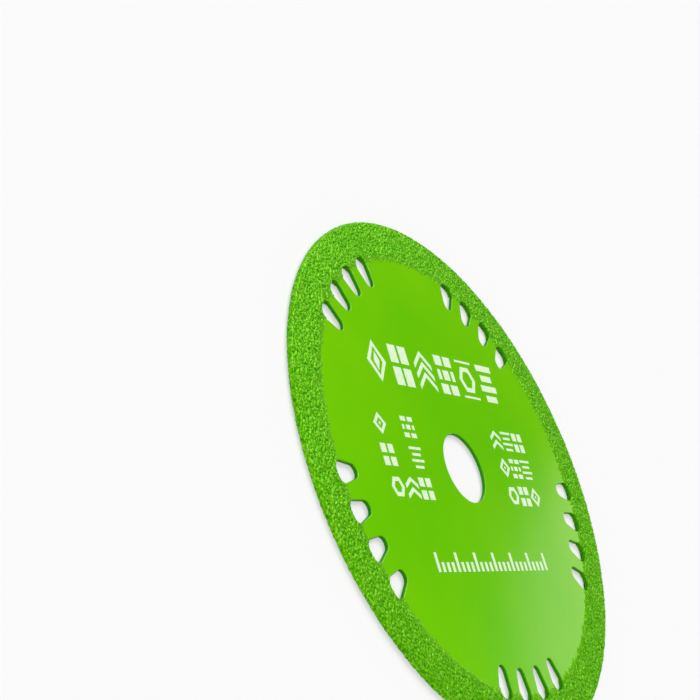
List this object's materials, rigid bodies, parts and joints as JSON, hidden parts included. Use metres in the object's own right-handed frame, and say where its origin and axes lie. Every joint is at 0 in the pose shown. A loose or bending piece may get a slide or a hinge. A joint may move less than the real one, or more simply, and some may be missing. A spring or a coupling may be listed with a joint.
{
  "type": "cutting disc",
  "caption": "Thin round cutting disc with a central bore, a raised rim coated in abrasive grit, groups of tear-shaped cooling slots and a printed face.",
  "frame": {"origin": "on the bore axis, in the plane that the lower face of the grit rim rests on", "axes": "+Z along the bore axis, out of the printed face; +Y up and +X right as the print reads, with one group of slots centred on -Y"},
  "size_m": [0.075, 0.075, 0.001],
  "materials": {
    "green_enamel": "smooth glossy enamel on sheet steel",
    "green_grit": "painted coat of brazed grit, rough and sugary",
    "white_ink": "flat white screen-printed ink"
  },
  "bodies": {
    "root": {"steel_core": "green_enamel", "grit_rim": "green_grit", "face_print": "white_ink"}
  },
  "joints": []
}
